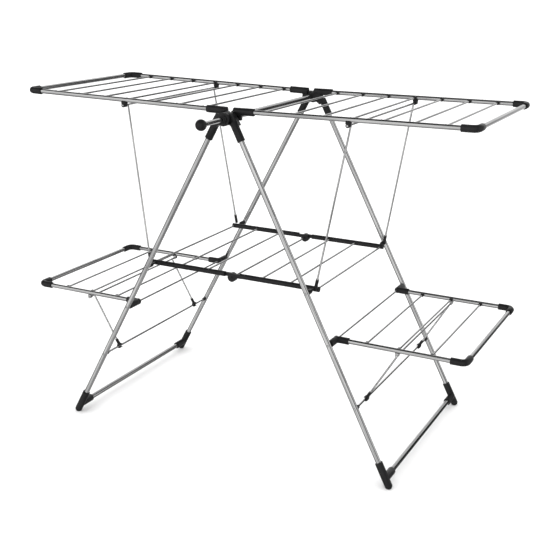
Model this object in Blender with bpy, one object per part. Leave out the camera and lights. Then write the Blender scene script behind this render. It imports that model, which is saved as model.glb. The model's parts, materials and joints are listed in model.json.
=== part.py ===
# Folding gullwing clothes drying rack: two leg frames in an inverted V on one axle,
# two top wings on folding props, a folding centre shelf and two lower side shelves.
# Metres, +Z up, +X along the wings, -Y towards the front, feet on z = 0.
import math

import bmesh
import bpy
from mathutils import Matrix, Vector

# ---- driving sizes -------------------------------------------------------
GAP = 0.0003              # clearance between a piece and what it is fitted on
FAR = 0.0400              # how far a cutter reaches past what it cuts
SIDES = 16                # facets round the moulded pieces
TUBE_SIDES = 12           # facets round the tubes
WIRE_SIDES = 8            # facets round the thin rods
BALL_ROWS = 8             # rows on the ball and on rounded tips

AXLE_Z = 1.041            # height of the fold axle
LEG_FOOT_X = 0.5676       # leg axis from the middle, at the floor
APEX_RISE = 0.0440         # the two leg axes would cross this far over the axle
LEG_APEX_Z = AXLE_Z + APEX_RISE
LEG_FOOT_Y = 0.3325       # leg axis from the middle, at the floor
LEG_TOP_Y = 0.3147        # the same at axle height: the legs splay a little
SLOPE = LEG_FOOT_X / LEG_APEX_Z    # of the legs, sideways
SPLAY = (LEG_FOOT_Y - LEG_TOP_Y) / AXLE_Z
LEG_ANGLE = math.atan(SLOPE)
LEG_R = 0.0082            # leg tube radius
LEG_WALL = 0.0009
LEG_TUBE_TOP_Z = AXLE_Z - 0.0290   # leg tubes end inside the hub sockets
LEG_TUBE_END_Z = 0.040    # and inside the feet

AXLE_R = 0.0085
AXLE_WALL = 0.0009

HANGER_PLAY = 0.0004       # round the hanger rod inside the crossbar
HANGER_R = AXLE_R - AXLE_WALL - HANGER_PLAY
HANGER_OUT = 0.4512       # centre of the end ball, from the middle
HANGER_INSIDE = 0.160     # inner end of the hanger rod, from the middle
BALL_R = 0.0165
BALL_SEAT = 0.0075        # depth of the rod inside the ball

CROSS_R = 0.0082          # bottom cross tube
CROSS_Z = 0.0300
CROSS_WALL = 0.0009
FOOT_R = 0.0118
FOOT_TOP_Z = 0.0755
FOOT_TIP_Z = 0.0092       # centre of the rounded tip; the floor cuts it flat
FOOT_SIDE_Y = 0.2780      # mouth of the side socket
CROSS_SEAT = 0.0180       # cross tube inside each side socket
CUP_R = 0.0122

THIN_R = 0.0032           # thin cross rod between the legs
THIN_Z = 0.2302
THIN_BOSS_R = 0.0062       # its end bosses, which sit against the legs
THIN_BOSS_LEN = 0.0085

WIRE_R = 0.0030           # rods of the wings and shelves
RAIL_R = 0.0072           # wing and lower shelf rails
RAIL_WALL = 0.0009

WING_Y = 0.2831           # wing rail axis from the middle
WING_HUB_Z = AXLE_Z + 0.0195   # rail height over the axle
WING_RISE = 0.0135        # rise of a rail per metre of run
WING_END_X = 0.7335       # axis of the end tube
WING_ROD_COUNT = 7
WING_ROD_FIRST = 0.1000
WING_ROD_STEP = 0.0905
WING_SOCKET_IN = 0.0125   # inner and outer end of the hub socket
WING_SOCKET_OUT = 0.0770
WING_SOCKET_R = 0.0112
WING_LUG_T = 0.0100       # thickness of one pivot lug
WING_LUG_R = 0.0128
WING_LUG_DROP = 0.0062    # bottom of the lug, below the axle
WING_LUG_ROOT = 0.0020    # inner end of the lug
WING_RAIL_IN = 0.0320     # inner end of the rails, inside the hub sockets
ELBOW_R = 0.0105
ELBOW_ARM = 0.0440        # from the corner to an elbow's mouth
ELBOW_BEND = 0.0170       # bend radius of an elbow
ELBOW_SEAT = 0.0180       # tube end, from the corner

HUB_DISC_R = 0.0200       # leg hub discs on the axle
HUB_LAYER_IN = WING_Y + WING_SOCKET_R + 0.0007   # the right legs' disc lies from here
HUB_LAYER_MID = LEG_TOP_Y + 0.0011   # to here, and the left legs' disc from here
HUB_LAYER_OUT = HUB_LAYER_MID + 0.0132   # to here
HUB_BOSS_R = 0.0140
HUB_BOSS_OUT = HUB_LAYER_OUT + 0.0090
AXLE_HALF = HUB_BOSS_OUT + 0.0005   # half length of the crossbar
HUB_SOCKET_R = 0.0118
HUB_SOCKET_START = APEX_RISE * math.cos(LEG_ANGLE) + HUB_DISC_R   # from the apex, along the leg
HUB_SOCKET_END = 0.1180
HUB_ARM_START = 0.0100    # the arm's outline, along the leg from the axle
HUB_ARM_END = 0.0340
HUB_ARM_HALF = 0.0095     # half width of the arm at the leg

CLIP_DROP = RAIL_R + 0.0093   # prop pivot below a rail axis
CLIP_HALF = 0.0065
CLIP_TOP = WIRE_R + 0.0006    # the clip's cheeks end this far below the rail axis
CLIP_CHEEK = RAIL_R + 0.0012  # half width of the cheeks

SHELF_Y = 0.2670          # centre shelf rail axis
SHELF_Z = 0.5560
SHELF_RAIL_R = 0.0082
SHELF_PEG_Z = SHELF_Z + 0.0010
PEG_X = LEG_FOOT_X - SLOPE * SHELF_PEG_Z   # where the legs cross the pegs
SHELF_END_X = PEG_X + 0.0163
SHELF_ROD_COUNT = 3
SHELF_ROD_LAST = SHELF_END_X - 0.0075
SHELF_ROD_STEP = SHELF_ROD_LAST / SHELF_ROD_COUNT
KNUCKLE_DROP = 0.0065     # hinge pin below the rail axis
KNUCKLE_R = 0.0142
KNUCKLE_TRIM = 0.0006     # lugs are this much thinner than the rail's half
LUG_NOSE = 0.0013         # and run this far past the hinge pin's axis
KNUCKLE_CLEAR = 0.0260    # rail end from the hinge pin
SHELF_PEG_R = 0.0040
PEG_BOSS_R = 0.0078       # boss of the peg, which sits against the leg
PROP_FOOT_Y = SHELF_Y + 0.0180   # the wing props end beside the rails
PEG_BOSS_IN = PROP_FOOT_Y + 0.0120   # inner face of the boss
PEG_SIDES = 14
PEG_OPEN_Y = SHELF_Y + SHELF_RAIL_R + 0.0013       # end of the peg that stays open
PEG_SEAT_Y = SHELF_Y - 0.0050       # end of the peg that seats in a rail

PROP_R = 0.0030           # wing prop wire
PROP_TOP_Y = 0.2640       # its legs splay from here to the foot
PROP_FOOT_X = PEG_X + 0.0118
PROP_FOOT_Z = SHELF_PEG_Z + 0.0070
PROP_CAP_R = 0.0050
PROP_CAP_LEN = 0.0300

LOW_Y = 0.2668            # lower shelf rail axis
LOW_Z = 0.4105
LOW_PIN_X = LEG_FOOT_X - SLOPE * LOW_Z   # where the legs cross the pivot pins
LOW_END_X = LOW_PIN_X + 0.3948
LOW_ROD_COUNT = 3
LOW_ROD_FIRST = LOW_PIN_X + 0.0921
LOW_ROD_STEP = 0.1000
LOW_PIN_R = 0.0040
LOW_PIN_IN = LOW_Y + 0.0182   # inner end of the pivot pin
LOW_ARM_OUT = LEG_FOOT_Y - SPLAY * LOW_Z - LEG_R - 0.0028   # connector arm reaches to here
LOW_SOCKET_OUT = 0.0400   # connector socket, from the corner
LOW_BEND = 0.0120         # bend radius of the connector
INNER_SEAT = 0.0040       # inner rod inside the connectors
LOW_PROP_X = LOW_ROD_FIRST + LOW_ROD_STEP - 0.0005
LOW_PROP_Y = 0.2440       # the lower prop's legs
LOW_CLIP_DROP = RAIL_R + 0.0078
LUG_HALF = 0.0055          # half width of the lugs under the lower rails
HOOK_R = 0.0080
HOOK_HALF = 0.0065
HOOK_CAP_R = 0.0052
HOOK_CAP_LEN = 0.0260


# ---- small helpers -------------------------------------------------------
def leg_point(side, face, z):
    """Point on a leg's axis at height z; side -1 left, face -1 front."""
    x = side * (LEG_FOOT_X - SLOPE * z)
    return Vector((x, face * (LEG_FOOT_Y - SPLAY * z), z))


def turning_bore(radius, sides):
    """Radius of a faceted hole in which a faceted pin of this radius can turn."""
    return (radius + GAP) / math.cos(math.pi / sides)


def wing_z(x):
    return WING_HUB_Z + WING_RISE * abs(x)


def mesh_object(name, bm):
    bmesh.ops.recalc_face_normals(bm, faces=bm.faces)
    mesh = bpy.data.meshes.new(name)
    bm.to_mesh(mesh)
    bm.free()
    obj = bpy.data.objects.new(name, mesh)
    bpy.context.scene.collection.objects.link(obj)
    return obj


def ring(bm, centre, frame, radius, sides, phase=0.5):
    verts = []
    for k in range(sides):
        a = 2 * math.pi * (k + phase) / sides
        offset = frame @ Vector((radius * math.cos(a), radius * math.sin(a), 0))
        verts.append(bm.verts.new(centre + offset))
    return verts


def bridge(bm, low, high):
    n = len(low)
    for k in range(n):
        bm.faces.new((low[k], low[(k + 1) % n], high[(k + 1) % n], high[k]))


def frame_along(direction):
    return direction.to_track_quat("Z", "Y").to_matrix()


def rod(name, start, end, radius, sides=SIDES):
    """Closed solid cylinder between two points."""
    start = Vector(start)
    end = Vector(end)
    frame = frame_along(end - start)
    bm = bmesh.new()
    low = ring(bm, start, frame, radius, sides)
    high = ring(bm, end, frame, radius, sides)
    bridge(bm, low, high)
    bm.faces.new(low)
    bm.faces.new(high)
    return mesh_object(name, bm)


def tube(name, start, end, radius, wall, sides=TUBE_SIDES):
    """Hollow tube with open ends."""
    start = Vector(start)
    end = Vector(end)
    frame = frame_along(end - start)
    bm = bmesh.new()
    outer_a = ring(bm, start, frame, radius, sides)
    outer_b = ring(bm, end, frame, radius, sides)
    inner_a = ring(bm, start, frame, radius - wall, sides)
    inner_b = ring(bm, end, frame, radius - wall, sides)
    bridge(bm, outer_a, outer_b)
    bridge(bm, inner_b, inner_a)
    bridge(bm, inner_a, outer_a)
    bridge(bm, outer_b, inner_b)
    return mesh_object(name, bm)


def sweep(name, points, radius, sides=SIDES):
    """Closed pipe of one radius along a list of points."""
    points = [Vector(p) for p in points]
    bm = bmesh.new()
    rings = []
    side_dir = None
    for i, point in enumerate(points):
        before = points[max(i - 1, 0)]
        after = points[min(i + 1, len(points) - 1)]
        ahead = (after - before).normalized()
        if side_dir is None:
            side_dir = ahead.orthogonal().normalized()
        side_dir = (side_dir - ahead * side_dir.dot(ahead)).normalized()
        frame = Matrix((side_dir, ahead.cross(side_dir), ahead)).transposed()
        rings.append(ring(bm, point, frame, radius, sides))
    for low, high in zip(rings, rings[1:]):
        bridge(bm, low, high)
    bm.faces.new(rings[0])
    bm.faces.new(rings[-1])
    return mesh_object(name, bm)


def block(name, low, high):
    """Closed box between two corners."""
    low = Vector(low)
    high = Vector(high)
    bm = bmesh.new()
    bmesh.ops.create_cube(bm, size=1.0)
    size = high - low
    for vert in bm.verts:
        vert.co = Vector(((vert.co.x + 0.5) * size.x, (vert.co.y + 0.5) * size.y,
                          (vert.co.z + 0.5) * size.z)) + low
    return mesh_object(name, bm)


def ball(name, centre, radius, sides=SIDES, rows=BALL_ROWS):
    bm = bmesh.new()
    bmesh.ops.create_uvsphere(bm, u_segments=sides, v_segments=rows, radius=radius)
    bmesh.ops.translate(bm, verts=bm.verts, vec=Vector(centre))
    return mesh_object(name, bm)


def combine(target, tools, operation):
    """Apply one exact Boolean per tool to the target and drop the tools."""
    for tool in tools:
        mod = target.modifiers.new(operation.lower(), "BOOLEAN")
        mod.operation = operation
        mod.solver = "EXACT"
        mod.object = tool
        graph = bpy.context.evaluated_depsgraph_get()
        graph.update()
        mesh = bpy.data.meshes.new_from_object(target.evaluated_get(graph))
        target.modifiers.clear()
        old = target.data
        target.data = mesh
        bpy.data.meshes.remove(old)
        bpy.data.objects.remove(tool, do_unlink=True)
    return target


def join(target, *tools):
    return combine(target, tools, "UNION")


def cut(target, *tools):
    return combine(target, tools, "DIFFERENCE")


def bend_path(corner, first, second, arm_a, arm_b, radius, steps=6):
    """Points from one mouth round a filleted corner to the other mouth."""
    corner = Vector(corner)
    first = Vector(first)
    second = Vector(second)
    points = [corner + first * arm_a]
    centre = corner + (first + second) * radius
    for k in range(steps + 1):
        a = math.pi / 2 * k / steps
        points.append(centre - second * radius * math.cos(a) - first * radius * math.sin(a))
    points.append(corner + second * arm_b)
    return points


MATERIALS = {
    "steel": ((0.62, 0.62, 0.61, 1.0), 0.26, 1.0),
    "black_plastic": ((0.018, 0.018, 0.020, 1.0), 0.48, 0.0),
    "black_rail": ((0.015, 0.015, 0.016, 1.0), 0.38, 0.0),
}
finished = []


def finish(obj, name, material, pivot):
    """Name the piece, put its origin on its joint axis, give it a material."""
    obj.name = name
    obj.data.name = name
    pivot = Vector(pivot)
    obj.data.transform(Matrix.Translation(-pivot))
    obj.location = pivot
    colour, rough, metal = MATERIALS[material]
    mat = bpy.data.materials.new(name + "_" + material)
    mat.use_nodes = True
    shader = mat.node_tree.nodes["Principled BSDF"]
    shader.inputs["Base Color"].default_value = colour
    shader.inputs["Roughness"].default_value = rough
    shader.inputs["Metallic"].default_value = metal
    obj.data.materials.clear()
    obj.data.materials.append(mat)
    obj.data.shade_smooth()
    finished.append(obj)
    return obj


SIDE_NAME = {-1: "left", 1: "right"}
FACE_NAME = {-1: "front", 1: "rear"}
AXLE = (0, 0, AXLE_Z)


# ---- axle and hanger rod -------------------------------------------------
def build_axle():
    bar = tube("bar", (0, -AXLE_HALF, AXLE_Z), (0, AXLE_HALF, AXLE_Z), AXLE_R, AXLE_WALL)
    finish(bar, "hub_crossbar", "steel", AXLE)
    shaft = rod("shaft", (0, -(HANGER_OUT - BALL_R + BALL_SEAT), AXLE_Z),
                (0, -HANGER_INSIDE, AXLE_Z), HANGER_R, TUBE_SIDES)
    finish(shaft, "hanger_rod", "steel", AXLE)
    knob = ball("knob", (0, -HANGER_OUT, AXLE_Z), BALL_R, 20, 14)
    seat_y = -(HANGER_OUT - BALL_R + BALL_SEAT + GAP)
    knob = cut(knob, rod("seat", (0, seat_y, AXLE_Z), (0, seat_y + BALL_R * 2, AXLE_Z),
                         HANGER_R + GAP, TUBE_SIDES))
    finish(knob, "hanger_rod_ball", "black_plastic", AXLE)


# ---- one leg frame -------------------------------------------------------
def build_leg(side, face):
    tag = SIDE_NAME[side] + "_" + FACE_NAME[face]
    low_pin = leg_point(side, face, LOW_Z)
    leg = tube("leg", leg_point(side, face, LEG_TUBE_END_Z),
               leg_point(side, face, LEG_TUBE_TOP_Z), LEG_R, LEG_WALL)
    pin = rod("pin", low_pin, (low_pin.x, face * LOW_PIN_IN, LOW_Z), LOW_PIN_R, WIRE_SIDES)
    finish(join(leg, pin), "leg_tube_" + tag, "steel", AXLE)

    down = (leg_point(side, face, 0) - leg_point(side, face, LEG_APEX_Z)).normalized()
    apex = leg_point(side, face, LEG_APEX_Z)

    # hub: a disc on the axle, an arm in its own layer, and the leg socket
    if side < 0:
        near, far = HUB_LAYER_MID + GAP, HUB_LAYER_OUT
    else:
        near, far = HUB_LAYER_IN, HUB_LAYER_MID - GAP
    hub = rod("disc", (0, face * near, AXLE_Z), (0, face * far, AXLE_Z), HUB_DISC_R, 24)
    flat = Vector((side * math.sin(LEG_ANGLE), 0, -math.cos(LEG_ANGLE)))
    across = Vector((side * math.cos(LEG_ANGLE), 0, math.sin(LEG_ANGLE)))
    bm = bmesh.new()
    corners = []
    offset = (LEG_APEX_Z - AXLE_Z) * math.sin(LEG_ANGLE)
    outline = ((-HUB_ARM_START, HUB_ARM_HALF * 0.4),
               (-HUB_ARM_START * 0.4, offset + HUB_ARM_HALF * 0.8),
               (HUB_ARM_END, offset + HUB_ARM_HALF),
               (HUB_ARM_END, offset - HUB_ARM_HALF),
               (HUB_ARM_START * 1.2, 0))
    for y in (near, far):
        corners.append([bm.verts.new(Vector((0, face * y, AXLE_Z)) + flat * a + across * b)
                        for a, b in outline])
    bridge(bm, corners[0], corners[1])
    bm.faces.new(corners[0])
    bm.faces.new(corners[1])
    arm = mesh_object("arm", bm)
    socket = rod("socket", apex + down * HUB_SOCKET_START, apex + down * HUB_SOCKET_END,
                 HUB_SOCKET_R, SIDES + 2)
    hub = join(hub, arm, socket)
    if side < 0:
        hub = join(hub, rod("boss", (0, face * (far - 0.002), AXLE_Z),
                            (0, face * HUB_BOSS_OUT, AXLE_Z), HUB_BOSS_R, SIDES + 2))
    tube_end = leg_point(side, face, LEG_TUBE_TOP_Z) - down * GAP
    hub = cut(hub, rod("bore", tube_end, apex + down * (HUB_SOCKET_END + FAR),
                       LEG_R + GAP, TUBE_SIDES),
              rod("axle_bore", (0, face * (HUB_LAYER_IN - FAR), AXLE_Z),
                  (0, face * (AXLE_HALF + FAR), AXLE_Z),
                  turning_bore(AXLE_R, TUBE_SIDES), TUBE_SIDES))
    finish(hub, "leg_hub_" + tag, "black_plastic", AXLE)

    # foot: sleeve on the leg, rounded tip cut flat by the floor, side socket
    tip = leg_point(side, face, FOOT_TIP_Z)
    foot = rod("sleeve", tip, leg_point(side, face, FOOT_TOP_Z), FOOT_R, SIDES + 2)
    cross_at = leg_point(side, face, CROSS_Z)
    cup = rod("cup", (cross_at.x, cross_at.y - face * 0.002, CROSS_Z),
              (cross_at.x, face * FOOT_SIDE_Y, CROSS_Z), CUP_R, SIDES + 2)
    foot = join(foot, ball("tip", tip, FOOT_R * 1.02, SIDES, BALL_ROWS), cup)
    foot = cut(foot, block("floor", tip + Vector((-FAR, -FAR, -FAR - FOOT_TIP_Z)),
                           tip + Vector((FAR, FAR, -FOOT_TIP_Z))),
               rod("leg_bore", leg_point(side, face, LEG_TUBE_END_Z) + down * GAP,
                   leg_point(side, face, FOOT_TOP_Z + FAR), LEG_R + GAP, TUBE_SIDES),
               rod("cross_bore", (cross_at.x, face * (cross_half() + GAP), CROSS_Z),
                   (cross_at.x, face * (FOOT_SIDE_Y - FAR), CROSS_Z),
                   CROSS_R + GAP, TUBE_SIDES))
    finish(foot, "foot_" + tag, "black_plastic", AXLE)

    # boss on the inner side of the leg, with the peg that carries the centre shelf
    peg_at = leg_point(side, face, SHELF_PEG_Z)
    peg_end = PEG_SEAT_Y if side < 0 else PEG_OPEN_Y
    bracket = join(rod("boss", peg_at, (peg_at.x, face * PEG_BOSS_IN, SHELF_PEG_Z),
                       PEG_BOSS_R, SIDES),
                   rod("peg", (peg_at.x, face * (PEG_BOSS_IN + SHELF_PEG_R), SHELF_PEG_Z),
                       (peg_at.x, face * peg_end, SHELF_PEG_Z), SHELF_PEG_R, PEG_SIDES))
    bracket = cut(bracket, rod("bore", peg_at - down * FAR, peg_at + down * FAR,
                               LEG_R + GAP, TUBE_SIDES))
    finish(bracket, "shelf_bracket_" + tag, "black_plastic", AXLE)


def cross_half():
    """Half length of the bottom cross tube: it seats inside the feet."""
    return FOOT_SIDE_Y + CROSS_SEAT


def build_leg_frame(side):
    for face in (-1, 1):
        build_leg(side, face)
    x = leg_point(side, 1, CROSS_Z).x
    cross = tube("cross", (x, -cross_half(), CROSS_Z), (x, cross_half(), CROSS_Z),
                 CROSS_R, CROSS_WALL)
    finish(cross, "foot_cross_tube_" + SIDE_NAME[side], "steel", AXLE)
    x = leg_point(side, 1, THIN_Z).x
    inner = abs(leg_point(side, 1, THIN_Z).y) - LEG_R - THIN_BOSS_LEN / 2
    thin = rod("thin", (x, -inner, THIN_Z), (x, inner, THIN_Z), THIN_R, TUBE_SIDES)
    for face in (-1, 1):
        at = leg_point(side, face, THIN_Z)
        axis = (leg_point(side, face, 0) - leg_point(side, face, 1)).normalized()
        boss = rod("boss", at, (x, face * (abs(at.y) - LEG_R - THIN_BOSS_LEN), THIN_Z),
                   THIN_BOSS_R, SIDES)
        thin = join(thin, cut(boss, rod("bore", at - axis * FAR, at + axis * FAR,
                                        LEG_R + GAP, TUBE_SIDES)))
    finish(thin, "prop_hook_rod_" + SIDE_NAME[side], "steel", AXLE)


# ---- a rail-and-rod panel shared by the wings and lower shelves ----------
def ladder(x_from, x_to, height, half_depth, rod_xs):
    rails = []
    for face in (-1, 1):
        rails.append(tube("rail", (x_from, face * half_depth, height(x_from)),
                          (x_to, face * half_depth, height(x_to)), RAIL_R, RAIL_WALL))
    panel = rails[0]
    reach = half_depth - RAIL_R + RAIL_WALL * 2
    for x in rod_xs:
        panel = join(panel, rod("wire", (x, -reach, height(x)), (x, reach, height(x)),
                                WIRE_R, WIRE_SIDES))
    return join(panel, rails[1])


def elbow(side, face, x, half_depth, z, rail_slope):
    """Corner connector: one mouth along the rail, one along the end tube."""
    along = Vector((-side, 0, -rail_slope)).normalized()
    inward = Vector((0, -face, 0))
    corner = Vector((x, face * half_depth, z))
    body = sweep("elbow", bend_path(corner, along, inward, ELBOW_ARM, ELBOW_ARM, ELBOW_BEND),
                 ELBOW_R, SIDES)
    return cut(body, rod("a", corner + along * (ELBOW_SEAT - GAP), corner + along * (ELBOW_ARM + FAR),
                         RAIL_R + GAP, TUBE_SIDES),
               rod("b", corner + inward * (ELBOW_SEAT - GAP), corner + inward * (ELBOW_ARM + FAR),
                   RAIL_R + GAP, TUBE_SIDES))


def clip(x, y, z, drop, wire_r):
    """Saddle fixed under a rail, with the eye that carries a prop's pivot."""
    saddle = block("saddle", (x - CLIP_HALF, y - CLIP_CHEEK, z - drop * 0.75),
                   (x + CLIP_HALF, y + CLIP_CHEEK, z - CLIP_TOP))
    eye = rod("eye", (x, y - CLIP_CHEEK, z - drop), (x, y + CLIP_CHEEK, z - drop),
              CLIP_HALF - GAP, SIDES)
    return cut(join(saddle, eye),
               rod("rail", (x - FAR, y, z), (x + FAR, y, z), RAIL_R + GAP, TUBE_SIDES),
               rod("wire", (x, y - FAR, z - drop), (x, y + FAR, z - drop),
                   turning_bore(wire_r, WIRE_SIDES), WIRE_SIDES))


def rail_lug(x, y, z, drop):
    """Lug fixed under a rail, with the hole for a prop's pivot."""
    top = z - RAIL_R + RAIL_WALL / 2
    lug = block("lug", (x - LUG_HALF, y - LUG_HALF, z - drop), (x + LUG_HALF, y + LUG_HALF, top))
    lug = join(lug, rod("eye", (x, y - LUG_HALF - GAP, z - drop), (x, y + LUG_HALF + GAP, z - drop),
                        LUG_HALF - GAP, SIDES))
    return cut(lug, rod("wire", (x, y - FAR, z - drop), (x, y + FAR, z - drop),
                        turning_bore(PROP_R, WIRE_SIDES), WIRE_SIDES))


# ---- wings ---------------------------------------------------------------
def build_wing(side):
    name = SIDE_NAME[side]
    rod_xs = [side * (WING_ROD_FIRST + WING_ROD_STEP * k) for k in range(WING_ROD_COUNT)]
    panel = ladder(side * WING_RAIL_IN, side * (WING_END_X - ELBOW_SEAT), wing_z, WING_Y, rod_xs)
    finish(panel, "wing_rack_" + name, "steel", AXLE)
    end_z = wing_z(WING_END_X)
    end_half = WING_Y - ELBOW_SEAT
    end = tube("end", (side * WING_END_X, -end_half, end_z), (side * WING_END_X, end_half, end_z),
               RAIL_R, RAIL_WALL)
    finish(end, "wing_end_tube_" + name, "steel", AXLE)
    prop_x = side * (WING_ROD_FIRST + WING_ROD_STEP * 3)
    for face in (-1, 1):
        tag = name + "_" + FACE_NAME[face]
        corner = elbow(side, face, side * WING_END_X, WING_Y, end_z, WING_RISE)
        finish(corner, "wing_elbow_" + tag, "black_plastic", AXLE)
        y = face * WING_Y
        start = side * WING_SOCKET_IN
        stop = side * WING_SOCKET_OUT
        socket = rod("socket", (start, y, wing_z(start)), (stop, y, wing_z(stop)),
                     WING_SOCKET_R, SIDES + 2)
        if side < 0:
            near, far = WING_Y + GAP, WING_Y + WING_LUG_T
        else:
            near, far = WING_Y - WING_LUG_T, WING_Y - GAP
        disc = rod("disc", (0, face * near, AXLE_Z), (0, face * far, AXLE_Z), WING_LUG_R, SIDES + 2)
        lug_x = sorted((side * WING_LUG_ROOT, side * (WING_RAIL_IN + 0.0020)))
        lug_y = sorted((face * near, face * far))
        lug = block("lug", (lug_x[0], lug_y[0], AXLE_Z - WING_LUG_DROP),
                    (lug_x[1], lug_y[1], WING_HUB_Z))
        socket = join(socket, disc, lug)
        socket = cut(socket, rod("bore", (side * (WING_RAIL_IN - GAP), y, wing_z(WING_RAIL_IN)),
                                 (side * (WING_SOCKET_OUT + FAR), y, wing_z(WING_SOCKET_OUT + FAR)),
                                 RAIL_R + GAP, TUBE_SIDES),
                     rod("axle_bore", (0, face * (WING_Y - FAR), AXLE_Z),
                         (0, face * (WING_Y + FAR), AXLE_Z),
                         turning_bore(AXLE_R, TUBE_SIDES), TUBE_SIDES))
        finish(socket, "wing_hub_" + tag, "black_plastic", AXLE)
        holder = clip(prop_x, y, wing_z(prop_x), CLIP_DROP, PROP_R)
        finish(holder, "wing_prop_clip_" + tag, "black_plastic", AXLE)

    # prop: one wire frame, pivoted in the two clips
    pivot_z = wing_z(prop_x) - CLIP_DROP
    half = WING_Y + CLIP_CHEEK + PROP_R / 2
    prop = rod("cross", (prop_x, -half, pivot_z), (prop_x, half, pivot_z), PROP_R, WIRE_SIDES)
    for face in (-1, 1):
        top = Vector((prop_x, face * PROP_TOP_Y, pivot_z))
        foot = Vector((side * PROP_FOOT_X, face * PROP_FOOT_Y, PROP_FOOT_Z))
        wire = rod("wire", top, foot, PROP_R, WIRE_SIDES)
        up = (top - foot).normalized()
        cap = rod("cap", foot - up * 0.002, foot + up * PROP_CAP_LEN, PROP_CAP_R, 14)
        prop = join(prop, wire, cap)
    finish(prop, "wing_prop_" + name, "steel", (prop_x, 0, pivot_z))


# ---- centre shelf --------------------------------------------------------
def build_centre_half(side):
    pin_z = SHELF_Z - KNUCKLE_DROP
    pivot = (0, 0, pin_z) if side > 0 else (leg_point(side, 1, SHELF_PEG_Z).x, 0, SHELF_PEG_Z)
    layer = SHELF_RAIL_R - KNUCKLE_TRIM
    body = None
    for k in range(SHELF_ROD_COUNT):
        x = side * (SHELF_ROD_LAST - SHELF_ROD_STEP * k)
        reach = SHELF_Y - SHELF_RAIL_R + 0.003
        wire = rod("wire", (x, -reach, SHELF_Z), (x, reach, SHELF_Z), WIRE_R, WIRE_SIDES)
        if body is None:
            rail = centre_rail(side, -1, layer, pin_z)
            body = join(rail, wire)
        else:
            body = join(body, wire)
    body = join(body, centre_rail(side, 1, layer, pin_z))
    if side < 0:
        half = SHELF_Y + SHELF_RAIL_R - 0.001
        body = join(body, rod("pin", (0, -half, pin_z), (0, half, pin_z), WIRE_R, WIRE_SIDES))
        peg_x = leg_point(side, 1, SHELF_PEG_Z).x
        for face in (-1, 1):
            body = cut(body, rod("peg_bore", (peg_x, face * (PEG_SEAT_Y - GAP), SHELF_PEG_Z),
                                 (peg_x, face * (SHELF_Y + FAR), SHELF_PEG_Z),
                                 turning_bore(SHELF_PEG_R, PEG_SIDES), PEG_SIDES))
    finish(body, "centre_shelf_" + SIDE_NAME[side], "black_rail", pivot)


def centre_rail(side, face, layer, pin_z):
    y = face * SHELF_Y
    rail = rod("rail", (side * KNUCKLE_CLEAR, y, SHELF_Z), (side * SHELF_END_X, y, SHELF_Z),
               SHELF_RAIL_R, SIDES)
    if side < 0:
        near, far = SHELF_Y - layer, SHELF_Y - GAP
    else:
        near, far = SHELF_Y + GAP, SHELF_Y + layer
    disc = rod("disc", (0, face * near, pin_z), (0, face * far, pin_z), KNUCKLE_R, SIDES + 2)
    root = side * (KNUCKLE_CLEAR + SHELF_RAIL_R)
    nose = -side * LUG_NOSE
    lug = block("lug", (min(nose, root), min(face * near, face * far), SHELF_Z - SHELF_RAIL_R + 0.0018),
                (max(nose, root), max(face * near, face * far), SHELF_Z + SHELF_RAIL_R - 0.0032))
    rail = join(rail, lug, disc)
    if side > 0:
        rail = cut(rail, rod("pin_bore", (0, face * (SHELF_Y - FAR), pin_z),
                             (0, face * (SHELF_Y + FAR), pin_z),
                             turning_bore(WIRE_R, WIRE_SIDES), WIRE_SIDES))
    return rail


# ---- lower side shelves --------------------------------------------------
def low_z(x):
    return LOW_Z


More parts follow.
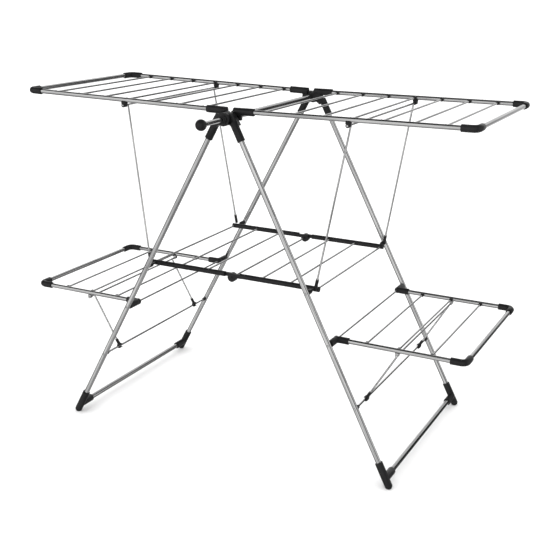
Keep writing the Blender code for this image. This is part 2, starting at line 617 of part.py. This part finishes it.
def build_lower_shelf(side):
    name = SIDE_NAME[side]
    pin_x = abs(leg_point(side, 1, LOW_Z).x)
    pivot = (side * pin_x, 0, LOW_Z)
    seat = pin_x + ELBOW_SEAT
    rod_xs = [side * (LOW_ROD_FIRST + LOW_ROD_STEP * k) for k in range(LOW_ROD_COUNT)]
    panel = ladder(side * seat, side * (LOW_END_X - ELBOW_SEAT), low_z, LOW_Y, rod_xs)
    for face in (-1, 1):
        panel = join(panel, rail_lug(side * LOW_PROP_X, face * LOW_Y, LOW_Z, LOW_CLIP_DROP))
    finish(panel, "lower_shelf_rack_" + name, "steel", pivot)
    half = LOW_Y - ELBOW_SEAT
    end = tube("end", (side * LOW_END_X, -half, LOW_Z), (side * LOW_END_X, half, LOW_Z),
               RAIL_R, RAIL_WALL)
    finish(end, "lower_shelf_end_tube_" + name, "steel", pivot)
    inner_reach = LOW_Y - ELBOW_R + INNER_SEAT
    inner = rod("inner", (side * pin_x, -inner_reach, LOW_Z), (side * pin_x, inner_reach, LOW_Z),
                WIRE_R, WIRE_SIDES)
    finish(inner, "lower_shelf_inner_rod_" + name, "steel", pivot)
    prop_z = LOW_Z - LOW_CLIP_DROP
    for face in (-1, 1):
        tag = name + "_" + FACE_NAME[face]
        corner = elbow(side, face, side * LOW_END_X, LOW_Y, LOW_Z, 0.0)
        finish(corner, "lower_shelf_elbow_" + tag, "black_plastic", pivot)
        at = Vector((side * pin_x, face * LOW_Y, LOW_Z))
        along = Vector((side, 0, 0))
        out = Vector((0, face, 0))
        arm = LOW_ARM_OUT - LOW_Y
        body = sweep("joint", bend_path(at, along, out, LOW_SOCKET_OUT, arm, LOW_BEND),
                     ELBOW_R, SIDES)
        inner_cap = ball("corner", at, ELBOW_R * 1.03, SIDES, BALL_ROWS)
        body = join(body, inner_cap)
        body = cut(body, rod("rail", at + along * (ELBOW_SEAT - GAP), at + along * (LOW_SOCKET_OUT + FAR),
                             RAIL_R + GAP, TUBE_SIDES),
                   rod("pin", (at.x, face * (LOW_PIN_IN - GAP), LOW_Z),
                       (at.x, face * (LOW_ARM_OUT + FAR), LOW_Z),
                       turning_bore(LOW_PIN_R, WIRE_SIDES), WIRE_SIDES),
                   rod("inner", (at.x, face * (inner_reach + GAP), LOW_Z),
                       (at.x, face * (LOW_Y - FAR), LOW_Z), WIRE_R + GAP, WIRE_SIDES))
        finish(body, "lower_shelf_pivot_" + tag, "black_plastic", pivot)

    # prop: pivots in lugs under the middle rod and hooks on the thin rod below
    cross_half_len = LOW_Y + LUG_HALF + PROP_R / 2
    prop = rod("cross", (side * LOW_PROP_X, -cross_half_len, prop_z),
               (side * LOW_PROP_X, cross_half_len, prop_z), PROP_R, WIRE_SIDES)
    hook_at = Vector((leg_point(side, 1, THIN_Z).x, 0, THIN_Z))
    for face in (-1, 1):
        y = Vector((0, face * LOW_PROP_Y, 0))
        top = Vector((side * LOW_PROP_X, 0, prop_z)) + y
        foot = hook_at + y
        down = (foot - top).normalized()
        wire = rod("wire", top, foot - down * (HOOK_R * 0.6), PROP_R, WIRE_SIDES)
        hook = rod("hook", foot - Vector((0, HOOK_HALF, 0)), foot + Vector((0, HOOK_HALF, 0)),
                   HOOK_R, SIDES)
        cap = rod("cap", foot - down * HOOK_CAP_LEN, foot - down * (HOOK_R * 0.7),
                  HOOK_CAP_R, TUBE_SIDES)
        slot = THIN_R + GAP
        low_x = foot.x - side * 0.02
        hook = cut(hook, rod("seat", foot - Vector((0, FAR, 0)), foot + Vector((0, FAR, 0)),
                             slot, 12),
                   block("mouth", (min(low_x, foot.x), foot.y - 0.03, foot.z - slot),
                         (max(low_x, foot.x), foot.y + 0.03, foot.z + slot)))
        prop = join(prop, wire, join(cap, hook))
    finish(prop, "lower_shelf_prop_" + name, "steel", (side * LOW_PROP_X, 0, prop_z))


def main():
    for obj in list(bpy.data.objects):
        bpy.data.objects.remove(obj, do_unlink=True)
    build_axle()
    for side in (-1, 1):
        build_leg_frame(side)
        build_wing(side)
        build_centre_half(side)
        build_lower_shelf(side)


main()
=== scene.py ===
import json
import math

import bmesh
import bpy
from mathutils import Matrix, Vector

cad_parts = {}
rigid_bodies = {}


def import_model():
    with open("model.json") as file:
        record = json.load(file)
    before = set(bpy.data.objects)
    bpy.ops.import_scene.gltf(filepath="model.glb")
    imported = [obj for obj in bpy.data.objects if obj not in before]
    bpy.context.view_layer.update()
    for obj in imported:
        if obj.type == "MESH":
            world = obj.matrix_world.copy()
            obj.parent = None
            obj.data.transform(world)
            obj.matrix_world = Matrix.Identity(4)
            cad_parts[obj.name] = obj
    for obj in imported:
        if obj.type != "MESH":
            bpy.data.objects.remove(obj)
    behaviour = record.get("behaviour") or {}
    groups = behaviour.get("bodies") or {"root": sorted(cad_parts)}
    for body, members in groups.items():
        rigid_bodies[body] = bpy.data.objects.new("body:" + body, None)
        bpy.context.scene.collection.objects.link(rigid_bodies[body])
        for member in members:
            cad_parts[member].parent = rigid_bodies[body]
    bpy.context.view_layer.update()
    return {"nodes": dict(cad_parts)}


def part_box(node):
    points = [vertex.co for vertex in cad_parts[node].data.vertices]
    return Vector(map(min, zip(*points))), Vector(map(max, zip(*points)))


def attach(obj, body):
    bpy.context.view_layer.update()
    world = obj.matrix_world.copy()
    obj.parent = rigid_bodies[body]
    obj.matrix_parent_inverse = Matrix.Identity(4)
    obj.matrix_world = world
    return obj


for old in list(bpy.data.objects):
    bpy.data.objects.remove(old)

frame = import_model()
NODES = frame["nodes"]

# ---------------------------------------------------------------- sizes, in metres
AXLE_Z = 1.041             # height of the fold axle
RAIL_R = 0.0072            # wing and lower shelf rails
RAIL_Y = 0.2831            # wing rails from the middle
WING_Z = 1.0605            # wing rail height at the middle
WING_RISE = 0.0135         # how far it climbs per metre outward
WING_ROD_X = [0.100 + 0.0905 * k for k in range(7)]
LOW_RAIL_Y = 0.2668        # lower shelf rails
LOW_RAIL_Z = 0.4105
LOW_ROD_X = [0.445, 0.545, 0.645]
SHELF_RAIL_Y = 0.267       # centre shelf's black rails
SHELF_RAIL_R = 0.0084
KNUCKLE_Z = 0.5495         # pivot in the middle of the centre shelf
KNUCKLE_FACE = 0.0079      # its outer face from the rail's axis
LEG_FOOT_X = 0.5676        # leg axis at the floor
LEG_FOOT_Y = 0.3325
LEG_LEAN_X = 0.52313       # how far it leans in per metre of height
LEG_LEAN_Y = 0.0171
LEG_R = 0.0082
RIVET_Z = (LOW_RAIL_Z, 0.557, 0.2302)          # lower shelf, centre shelf, prop rod
WING_PROP_TOP = (0.3715, 1.049)                # x and z of the wing prop's ends
WING_PROP_FOOT = (0.288, 0.576)
HOOK_CAP_Y = 0.3116        # beyond this the hook rod is capped in plastic
WING_PROP_CAP_Z = 0.5915   # below this the wing prop is
LOW_PROP_CAP_Z = 0.2530    # below this the lower prop is
EDGE_BEVEL = 0.0007
COLLAR_SINK = 0.0008       # a collar starts this far inside its rail
BUSH_SINK = 0.0004
SHARP_ANGLE = math.radians(50)
FLOOR_HALF = 90
SIDES = (("left", -1), ("right", 1))
ENDS = (("front", -1), ("rear", 1))


def wing_z(x):
    return WING_Z + WING_RISE * abs(x)


# ---------------------------------------------------------------- node helpers
def link(tree, a, b):
    tree.links.new(a, b)


def new_material(name):
    m = bpy.data.materials.new(name)
    m.use_nodes = True
    t = m.node_tree
    t.nodes.clear()
    out = t.nodes.new("ShaderNodeOutputMaterial")
    return m, t, out


def ramp(tree, source, low, high, a, b):
    """Grey, or colour, from a to b as the source goes from low to high."""
    r = tree.nodes.new("ShaderNodeValToRGB")
    r.color_ramp.elements[0].position = low
    r.color_ramp.elements[1].position = high
    for e, c in zip(r.color_ramp.elements, (a, b)):
        e.color = (*c, 1) if isinstance(c, tuple) else (c, c, c, 1)
    link(tree, source, r.inputs[0])
    return r.outputs[0]


def noise(tree, vector, scale, detail=3.0):
    n = tree.nodes.new("ShaderNodeTexNoise")
    n.inputs["Scale"].default_value = scale
    n.inputs["Detail"].default_value = detail
    link(tree, vector, n.inputs["Vector"])
    return n.outputs[0]


def stretched(tree, source, turn_y, scale):
    """Coordinates turned about Y, then scaled: noise on them makes streaks along one axis."""
    turn = tree.nodes.new("ShaderNodeMapping")
    turn.inputs["Rotation"].default_value = (0, turn_y, 0)
    link(tree, source, turn.inputs["Vector"])
    sized = tree.nodes.new("ShaderNodeMapping")
    sized.inputs["Scale"].default_value = scale
    link(tree, turn.outputs[0], sized.inputs["Vector"])
    return sized.outputs[0]


def steel_shader(tree, point, turn_y, scale):
    """Drawn stainless steel: long polishing streaks and a few smudges."""
    s = tree.nodes.new("ShaderNodeBsdfPrincipled")
    s.inputs["Metallic"].default_value = 1.0
    line = stretched(tree, point, turn_y, scale)
    streak = noise(tree, line, 1.0, 4.0)
    smudge = noise(tree, point, 9.0, 2.0)
    colour = ramp(tree, streak, 0.30, 0.72, (0.34, 0.34, 0.345), (0.74, 0.74, 0.735))
    link(tree, colour, s.inputs["Base Color"])
    both = tree.nodes.new("ShaderNodeMix")
    both.data_type = "FLOAT"
    both.inputs[0].default_value = 0.45
    link(tree, streak, both.inputs[2])
    link(tree, smudge, both.inputs[3])
    link(tree, ramp(tree, both.outputs[0], 0.25, 0.75, 0.07, 0.20), s.inputs["Roughness"])
    bump = tree.nodes.new("ShaderNodeBump")
    bump.inputs["Strength"].default_value = 0.25
    bump.inputs["Distance"].default_value = 0.00025
    link(tree, streak, bump.inputs["Height"])
    link(tree, bump.outputs[0], s.inputs["Normal"])
    return s.outputs[0]


def plastic_shader(tree, point):
    """Satin black nylon: fine grain and slightly paler, duller patches."""
    s = tree.nodes.new("ShaderNodeBsdfPrincipled")
    s.inputs["Specular IOR Level"].default_value = 0.28
    grain = noise(tree, point, 1400.0, 2.0)
    patch = noise(tree, point, 26.0, 4.0)
    colour = ramp(tree, patch, 0.30, 0.75, (0.0045, 0.0045, 0.005), (0.012, 0.012, 0.0125))
    link(tree, colour, s.inputs["Base Color"])
    link(tree, ramp(tree, patch, 0.25, 0.80, 0.30, 0.46), s.inputs["Roughness"])
    bump = tree.nodes.new("ShaderNodeBump")
    bump.inputs["Strength"].default_value = 0.35
    bump.inputs["Distance"].default_value = 0.0002
    link(tree, grain, bump.inputs["Height"])
    link(tree, bump.outputs[0], s.inputs["Normal"])
    return s.outputs[0]


def compare(tree, point, part, limit, above):
    """1 where part of the coordinate, "z" or "abs y", is above (or else below) the limit."""
    split = tree.nodes.new("ShaderNodeSeparateXYZ")
    link(tree, point, split.inputs[0])
    value = split.outputs["XYZ".index(part[-1].upper())]
    if part.startswith("abs"):
        size = tree.nodes.new("ShaderNodeMath")
        size.operation = "ABSOLUTE"
        link(tree, value, size.inputs[0])
        value = size.outputs[0]
    test = tree.nodes.new("ShaderNodeMath")
    test.operation = "GREATER_THAN" if above else "LESS_THAN"
    test.inputs[1].default_value = limit
    link(tree, value, test.inputs[0])
    return test.outputs[0]


def material(name, shaders, mask=None):
    """One shader, or two shaders split by a test on the resting coordinates."""
    m, t, out = new_material(name)
    point = t.nodes.new("ShaderNodeTexCoord").outputs["Object"]
    made = [f(t, point) for f in shaders]
    if mask:
        mix = t.nodes.new("ShaderNodeMixShader")
        link(t, compare(t, point, *mask), mix.inputs[0])
        link(t, made[0], mix.inputs[1])
        link(t, made[1], mix.inputs[2])
        link(t, mix.outputs[0], out.inputs[0])
    else:
        link(t, made[0], out.inputs[0])
    return m


FINE, LONG = 260, 4         # noise scale across and along the streaks
LEG_TILT = math.atan(LEG_LEAN_X)
PROP_TILT = -math.atan((WING_PROP_TOP[0] - WING_PROP_FOOT[0]) / (WING_PROP_TOP[1] - WING_PROP_FOOT[1]))


def along_x(t, p):
    return steel_shader(t, p, 0.0, (LONG, FINE, FINE))


def along_y(t, p):
    return steel_shader(t, p, 0.0, (FINE, LONG, FINE))


def along_tilt(angle):
    return lambda t, p: steel_shader(t, p, angle, (FINE, FINE, LONG))


MAT = {
    "steel_y": material("steel_along_y", [along_y]),
    "rack_wing": material("steel_wing_rack", [along_y, along_x], ("abs y", RAIL_Y - RAIL_R, True)),
    "rack_low": material("steel_lower_rack", [along_y, along_x], ("abs y", LOW_RAIL_Y - RAIL_R, True)),
    "plastic": material("black_nylon", [plastic_shader]),
    "rivet": material("steel_rivet", [along_y]),
    "shelf": material("black_rails_steel_rods", [along_y, plastic_shader],
                      ("abs y", SHELF_RAIL_Y - SHELF_RAIL_R, True)),
    "hook_rod": material("steel_hook_rod", [along_y, plastic_shader], ("abs y", HOOK_CAP_Y, True)),
}
for side, sx in SIDES:
    MAT["leg_" + side] = material("steel_leg_" + side, [along_tilt(sx * LEG_TILT)])
    MAT["wing_prop_" + side] = material(
        "steel_wing_prop_" + side, [along_tilt(sx * PROP_TILT), plastic_shader],
        ("z", WING_PROP_CAP_Z, False))
    MAT["low_prop_" + side] = material(
        "steel_low_prop_" + side, [along_tilt(-sx * PROP_TILT), plastic_shader],
        ("z", LOW_PROP_CAP_Z, False))


def pick(name):
    """The material of a CAD node, by its name."""
    for side, _ in SIDES:
        if name.startswith("leg_tube_" + side):
            return MAT["leg_" + side]
        if name == "wing_prop_" + side:
            return MAT["wing_prop_" + side]
        if name == "lower_shelf_prop_" + side:
            return MAT["low_prop_" + side]
    if name.startswith("wing_rack"):
        return MAT["rack_wing"]
    if name.startswith("lower_shelf_rack"):
        return MAT["rack_low"]
    if name.startswith("centre_shelf"):
        return MAT["shelf"]
    if name.startswith("prop_hook_rod"):
        return MAT["hook_rod"]
    if name in ("hub_crossbar", "hanger_rod"):
        return MAT["steel_y"]
    if any(word in name for word in ("end_tube", "cross_tube", "inner_rod")):
        return MAT["steel_y"]
    return MAT["plastic"]


# ---------------------------------------------------------------- modifiers on the CAD pieces
def geometry_group(name):
    g = bpy.data.node_groups.new(name, "GeometryNodeTree")
    for way in ("INPUT", "OUTPUT"):
        g.interface.new_socket("Geometry", in_out=way, socket_type="NodeSocketGeometry")
    return g, g.nodes.new("NodeGroupInput"), g.nodes.new("NodeGroupOutput")


def weld_group():
    """Joins the loose triangles of an imported mesh."""
    g, a, b = geometry_group("weld")
    merge = g.nodes.new("GeometryNodeMergeByDistance")
    merge.inputs["Distance"].default_value = 0.00002
    g.links.new(a.outputs[0], merge.inputs[0])
    g.links.new(merge.outputs[0], b.inputs[0])
    return g


def round_group(angle):
    """Shades smooth everywhere but across edges sharper than the angle."""
    g, a, b = geometry_group("round")
    edge = g.nodes.new("GeometryNodeInputMeshEdgeAngle")
    test = g.nodes.new("FunctionNodeCompare")
    test.data_type = "FLOAT"
    test.operation = "GREATER_THAN"
    test.inputs[1].default_value = angle
    g.links.new(edge.outputs["Unsigned Angle"], test.inputs[0])
    sharp = g.nodes.new("GeometryNodeSetMeshNormal")
    sharp.mode = "SHARPNESS"
    for s in sharp.inputs:
        if s.name == "Remove Custom":
            s.default_value = True
        if s.name == "Edge Sharpness":
            g.links.new(test.outputs[0], s)
    g.links.new(a.outputs[0], sharp.inputs[0])
    g.links.new(sharp.outputs[0], b.inputs[0])
    return g


WELD = weld_group()
ROUND = round_group(SHARP_ANGLE)


def shade_round(o):
    r = o.modifiers.new("round", "NODES")
    r.node_group = ROUND


def dress(o, mat):
    """Material and finish of a CAD piece; moulded plastic has softened edges."""
    o.data.materials.clear()
    o.data.materials.append(mat)
    m = o.modifiers.new("weld", "NODES")
    m.node_group = WELD
    if mat == MAT["plastic"]:
        b = o.modifiers.new("edges", "BEVEL")
        b.width = EDGE_BEVEL
        b.segments = 2
        b.limit_method = "ANGLE"
        b.angle_limit = SHARP_ANGLE
        b.use_clamp_overlap = True
    shade_round(o)


for name, o in NODES.items():
    dress(o, pick(name))


# ---------------------------------------------------------------- pieces made here
def lathe(bm, profile, origin, axis, segments=20):
    """Adds a turned shape: the profile is (radius, distance along the axis) from the origin."""
    d = Vector(axis).normalized()
    turn = d.to_track_quat("Z", "Y").to_matrix().to_4x4()
    place = Matrix.Translation(Vector(origin)) @ turn
    rings = []
    for radius, along in profile:
        if radius == 0.0:
            rings.append([bm.verts.new(place @ Vector((0, 0, along)))])
            continue
        angles = [2 * math.pi * k / segments for k in range(segments)]
        rings.append([
            bm.verts.new(place @ Vector((radius * math.cos(a), radius * math.sin(a), along)))
            for a in angles])
    for low, high in zip(rings, rings[1:]):
        for k in range(segments):
            n = (k + 1) % segments
            corners = [low[k % len(low)], low[n % len(low)], high[n % len(high)], high[k % len(high)]]
            face = []
            for v in corners:
                if v not in face:
                    face.append(v)
            if len(face) > 2:
                bm.faces.new(face)


def piece(name, bm, body, mat):
    """Makes an object of the mesh and fixes it to a body of the frame."""
    mesh = bpy.data.meshes.new(name)
    bmesh.ops.recalc_face_normals(bm, faces=bm.faces)
    bm.to_mesh(mesh)
    bm.free()
    for p in mesh.polygons:
        p.use_smooth = True
    mesh.materials.append(mat)
    o = bpy.data.objects.new(name, mesh)
    bpy.context.scene.collection.objects.link(o)
    shade_round(o)
    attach(o, body)
    return o


COLLAR = [(0.0031, 0.0), (0.0056, 0.0), (0.0060, 0.0006), (0.0060, 0.0075), (0.0054, 0.0092),
          (0.0044, 0.0100), (0.0031, 0.0102)]
BUSH = [(0.0075, 0.0), (0.0092, 0.0), (0.0112, 0.0006), (0.0112, 0.0022), (0.0098, 0.0036),
        (0.0080, 0.0038), (0.0075, 0.0030), (0.0075, 0.0)]
PLUG = [(0.0112, 0.0), (0.0112, 0.0018), (0.0100, 0.0032), (0.0070, 0.0040), (0.0030, 0.0042),
        (0.0022, 0.0036), (0.0, 0.0036)]
RIVET = [(0.0, 0.0006), (0.0011, 0.0006), (0.0017, 0.0014), (0.0026, 0.0013), (0.0034, 0.0006),
         (0.0036, 0.0), (0.0036, -0.0008), (0.0, -0.0008)]


def collars(name, body, sx, rods, rail_y, height):
    """Plastic collars where the rods enter the rails."""
    bm = bmesh.new()
    for x in rods:
        for _, sy in ENDS:
            start = (sx * x, sy * (rail_y - RAIL_R + COLLAR_SINK), height(x))
            lathe(bm, COLLAR, start, (0, -sy, 0))
    piece(name, bm, body, MAT["plastic"])


for side, sx in SIDES:
    collars("wing_rod_collars_" + side, "wing_" + side, sx, WING_ROD_X, RAIL_Y, wing_z)
    collars("lower_shelf_rod_collars_" + side, "lower_shelf_" + side, sx, LOW_ROD_X, LOW_RAIL_Y,
            lambda x: LOW_RAIL_Z)

# rings round the crossbar ends: open where the hanger rod comes out, closed behind
AXLE_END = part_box("hub_crossbar")[1].y
for name, profile, sy in (("axle_bush_front", BUSH, -1), ("axle_plug_rear", PLUG, 1)):
    bm = bmesh.new()
    lathe(bm, profile, (0, sy * (AXLE_END - BUSH_SINK), AXLE_Z), (0, sy, 0), 28)
    piece(name, bm, "hub_axle", MAT["plastic"])


def rivets(name, body, spots, mat):
    """Rivet heads that face outward: each spot is (x, y, z, which way y faces)."""
    bm = bmesh.new()
    for x, y, z, sy in spots:
        lathe(bm, RIVET, (x, y, z), (0, sy, 0), 16)
    piece(name, bm, body, mat)


def leg_face(sx, sy, z):
    """The point on the outer face of a leg at a height."""
    return sx * (LEG_FOOT_X - LEG_LEAN_X * z), sy * (LEG_FOOT_Y - LEG_LEAN_Y * z + LEG_R), z, sy


for side, sx in SIDES:
    spots = [leg_face(sx, sy, z) for _, sy in ENDS for z in RIVET_Z]
    rivets("leg_rivets_" + side, "leg_frame_" + side, spots, MAT["rivet"])
spots = [(0, sy * (SHELF_RAIL_Y + KNUCKLE_FACE), KNUCKLE_Z, sy) for _, sy in ENDS]
rivets("knuckle_rivets", "centre_shelf_right", spots, MAT["plastic"])

# ---------------------------------------------------------------- floor, light, camera
bm = bmesh.new()
for sx, sy in ((-1, -1), (1, -1), (1, 1), (-1, 1)):
    bm.verts.new((sx * FLOOR_HALF, sy * FLOOR_HALF, 0))
bm.faces.new(bm.verts)
mesh = bpy.data.meshes.new("floor")
bm.to_mesh(mesh)
bm.free()
floor = bpy.data.objects.new("floor", mesh)
bpy.context.scene.collection.objects.link(floor)
m, t, out = new_material("pale_floor")
s = t.nodes.new("ShaderNodeBsdfPrincipled")
s.inputs["Roughness"].default_value = 0.9
s.inputs["Specular IOR Level"].default_value = 0.1
p = t.nodes.new("ShaderNodeTexCoord").outputs["Object"]
link(t, ramp(t, noise(t, p, 3.0, 2.0), 0.2, 0.8, 0.93, 0.95), s.inputs["Base Color"])
link(t, s.outputs[0], out.inputs[0])
mesh.materials.append(m)
floor.visible_glossy = False

# The world is a studio to reflect: what is bright or dark by height, times the same by compass
# direction. In both, 0 to 1 runs all the way: from straight down to straight up, and once round.
BY_HEIGHT = [(0.0, 0.45), (0.12, 0.75), (0.18, 0.30), (0.22, 0.80), (0.50, 0.92), (0.60, 0.95),
             (0.83, 0.80), (0.855, 0.05), (0.94, 0.03), (1.0, 0.30)]
SOFTBOXES = [(0.0, 0.04), (0.03, 0.04), (0.05, 1.05), (0.395, 1.1), (0.415, 0.04), (0.48, 0.04),
             (0.50, 1.0), (0.63, 1.0), (0.65, 0.03), (0.69, 0.03), (0.72, 0.9), (0.885, 1.0),
             (0.91, 0.04), (1.0, 0.04)]
BACKDROP = 0.93


def grey_stops(tree, source, stops):
    r = tree.nodes.new("ShaderNodeValToRGB")
    while len(r.color_ramp.elements) < len(stops):
        r.color_ramp.elements.new(0.5)
    for e, (position, grey) in zip(r.color_ramp.elements, stops):
        e.position = position
        e.color = (grey, grey, grey, 1)
    link(tree, source, r.inputs[0])
    return r.outputs[0]


def mixed(tree, blend, factor, a, b):
    """A colour mix; the factor is a number or a socket, b is a grey or a socket."""
    mix = tree.nodes.new("ShaderNodeMix")
    mix.data_type = "RGBA"
    mix.blend_type = blend
    if isinstance(factor, float):
        mix.inputs["Factor"].default_value = factor
    else:
        link(tree, factor, mix.inputs["Factor"])
    link(tree, a, mix.inputs[6])
    if isinstance(b, float):
        mix.inputs[7].default_value = (b, b, b, 1)
    else:
        link(tree, b, mix.inputs[7])
    return mix.outputs[2]


def studio_world():
    world = bpy.data.worlds.new("studio")
    world.use_nodes = True
    t = world.node_tree
    t.nodes.clear()
    direction = t.nodes.new("ShaderNodeTexCoord").outputs["Generated"]
    split = t.nodes.new("ShaderNodeSeparateXYZ")
    link(t, direction, split.inputs[0])
    height = t.nodes.new("ShaderNodeMapRange")
    height.inputs["From Min"].default_value = -1
    height.inputs["From Max"].default_value = 1
    link(t, split.outputs["Z"], height.inputs[0])
    compass = t.nodes.new("ShaderNodeTexGradient")
    compass.gradient_type = "RADIAL"
    link(t, direction, compass.inputs[0])
    lit = mixed(t, "MULTIPLY", 1.0, grey_stops(t, height.outputs[0], BY_HEIGHT),
                grey_stops(t, compass.outputs[0], SOFTBOXES))
    # straight behind the rack, the eye sees a plain pale backdrop
    seen = t.nodes.new("ShaderNodeLightPath").outputs["Is Camera Ray"]
    back = t.nodes.new("ShaderNodeBackground")
    link(t, mixed(t, "MIX", seen, lit, BACKDROP), back.inputs[0])
    link(t, back.outputs[0], t.nodes.new("ShaderNodeOutputWorld").inputs[0])
    return world


bpy.context.scene.world = studio_world()


def soft_sun(name, lean, strength, spread):
    """A sun as wide as a cloud; it leans toward the given direction and has no highlight."""
    d = bpy.data.lights.new(name, "SUN")
    d.energy = strength
    d.angle = math.radians(spread)
    o = bpy.data.objects.new(name, d)
    o.visible_glossy = False
    o.rotation_euler = Vector(lean).to_track_quat("Z", "Y").to_euler()
    bpy.context.scene.collection.objects.link(o)


soft_sun("overhead", (-0.35, -0.25, 1.0), 2.6, 120)
soft_sun("back_fill", (0.5, 0.6, 0.9), 1.3, 120)

CAMERA_AT = Vector((1.4011, -2.8098, 1.4679))
YAW, PITCH, ROLL = (math.radians(a) for a in (25.971, 17.7007, 1.0703))
LENS = 63.485
back_dir = Vector((math.sin(YAW) * math.cos(PITCH), -math.cos(YAW) * math.cos(PITCH), math.sin(PITCH)))
right = Vector((math.cos(YAW), math.sin(YAW), 0))
up = back_dir.cross(right)
right_rolled = right * math.cos(ROLL) + up * math.sin(ROLL)
up_rolled = up * math.cos(ROLL) - right * math.sin(ROLL)
turn = Matrix((right_rolled, up_rolled, back_dir)).transposed()
cam = bpy.data.cameras.new("camera")
cam.sensor_width = 36
cam.lens = LENS
camera = bpy.data.objects.new("camera", cam)
camera.matrix_world = Matrix.Translation(CAMERA_AT) @ turn.to_4x4()
bpy.context.scene.collection.objects.link(camera)
bpy.context.scene.camera = camera
bpy.context.scene.view_settings.view_transform = "Standard"
